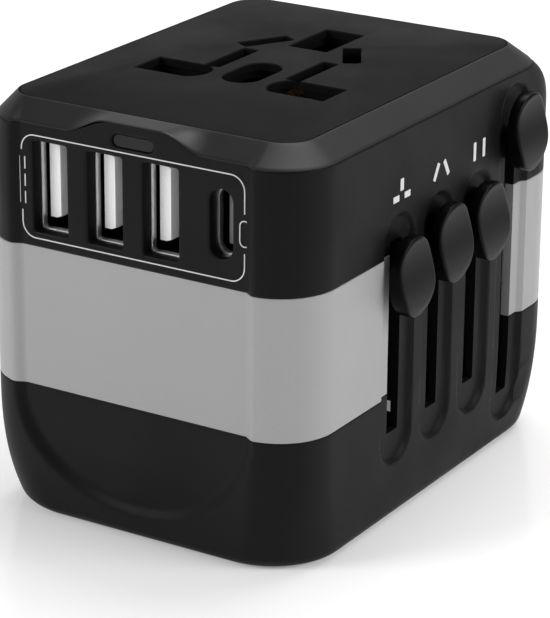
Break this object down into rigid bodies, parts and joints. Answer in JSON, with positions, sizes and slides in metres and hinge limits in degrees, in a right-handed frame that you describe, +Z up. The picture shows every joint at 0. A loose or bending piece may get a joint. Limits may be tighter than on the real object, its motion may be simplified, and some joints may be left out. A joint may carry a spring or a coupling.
{
  "type": "universal travel adapter",
  "caption": "Boxy mains adapter with sliding plug pins for several standards, a combined socket on top and USB outlets on the front.",
  "frame": {"origin": "centre of the base face", "axes": "+Z up from the base, -Y is the USB side, +X is the slider side"},
  "size_m": [0.054, 0.0716, 0.0573],
  "materials": {
    "shell_black": "satin, fine grain",
    "bezel_gunmetal": "satin, fine grain",
    "band_grey": "satin",
    "knob_black": "satin",
    "carriage_plastic": "matt",
    "brass": "polished",
    "pin_metal": "nickel plated",
    "usb_metal": "bright",
    "usb_insulator": "satin white",
    "board": "solder mask",
    "steel": "plain",
    "lens": "smoked",
    "print_white": "screen print",
    "ceramic": "glazed"
  },
  "bodies": {
    "casing": {"lower_shell": "shell_black", "band_shell": "band_grey", "slider_panel": "shell_black", "upper_shell": "shell_black", "top_bezel": "bezel_gunmetal", "socket_cover": "shell_black", "base_plate": "shell_black", "contact_deck": "carriage_plastic", "line_contact": "brass", "neutral_contact": "brass", "earth_contact": "brass", "line_busbar": "brass", "neutral_busbar": "brass", "fuse": "ceramic", "fuse_clips": "brass", "usb_board": "board", "usb_a_shell_1": "usb_metal", "usb_a_shell_2": "usb_metal", "usb_a_shell_3": "usb_metal", "usb_a_tongue_1": "usb_insulator", "usb_a_tongue_2": "usb_insulator", "usb_a_tongue_3": "usb_insulator", "usb_a_contacts": "brass", "usb_c_shell": "usb_metal", "usb_c_tongue": "knob_black", "transformer": "carriage_plastic", "capacitors": "carriage_plastic", "led_lens": "lens", "power_led": "usb_insulator", "case_screws": "steel", "port_frame_print": "print_white", "slider_marks": "print_white"},
    "uk_slider": {"uk_carriage": "carriage_plastic", "uk_line_pin": "pin_metal", "uk_neutral_pin": "pin_metal", "uk_earth_pin": "pin_metal", "uk_spring": "steel"},
    "uk_button": {"uk_knob": "knob_black"},
    "aus_slider": {"aus_carriage": "carriage_plastic", "aus_line_blade": "pin_metal", "aus_neutral_blade": "pin_metal", "aus_spring": "steel"},
    "aus_button": {"aus_knob": "knob_black"},
    "us_slider": {"us_carriage": "carriage_plastic", "us_line_blade": "pin_metal", "us_neutral_blade": "pin_metal", "us_spring": "steel"},
    "us_button": {"us_knob": "knob_black"},
    "eu_slider": {"eu_carriage": "carriage_plastic", "eu_line_pin": "pin_metal", "eu_neutral_pin": "pin_metal", "eu_spring": "steel"},
    "eu_button": {"eu_knob": "knob_black"}
  },
  "joints": [
    {"name": "uk_slide", "type": "slide", "parent": "casing", "child": "uk_slider", "axis": [0, 0, -1], "range_m": [0, 0.022]},
    {"name": "uk_press", "type": "slide", "parent": "uk_slider", "child": "uk_button", "axis": [-1, 0, 0], "range_m": [0, 0.0007], "stiffness_N_per_m": 400, "springref_m": -0.002, "deforming": ["uk_spring"]},
    {"name": "aus_slide", "type": "slide", "parent": "casing", "child": "aus_slider", "axis": [0, 0, -1], "range_m": [0, 0.022]},
    {"name": "aus_press", "type": "slide", "parent": "aus_slider", "child": "aus_button", "axis": [-1, 0, 0], "range_m": [0, 0.0007], "stiffness_N_per_m": 400, "springref_m": -0.002, "deforming": ["aus_spring"]},
    {"name": "us_slide", "type": "slide", "parent": "casing", "child": "us_slider", "axis": [0, 0, -1], "range_m": [0, 0.022]},
    {"name": "us_press", "type": "slide", "parent": "us_slider", "child": "us_button", "axis": [-1, 0, 0], "range_m": [0, 0.0007], "stiffness_N_per_m": 400, "springref_m": -0.002, "deforming": ["us_spring"]},
    {"name": "eu_slide", "type": "slide", "parent": "casing", "child": "eu_slider", "axis": [0, 0, -1], "range_m": [0, 0.0335]},
    {"name": "eu_press", "type": "slide", "parent": "eu_slider", "child": "eu_button", "axis": [-1, 0, 0], "range_m": [0, 0.0007], "stiffness_N_per_m": 400, "springref_m": -0.002, "deforming": ["eu_spring"]}
  ]
}
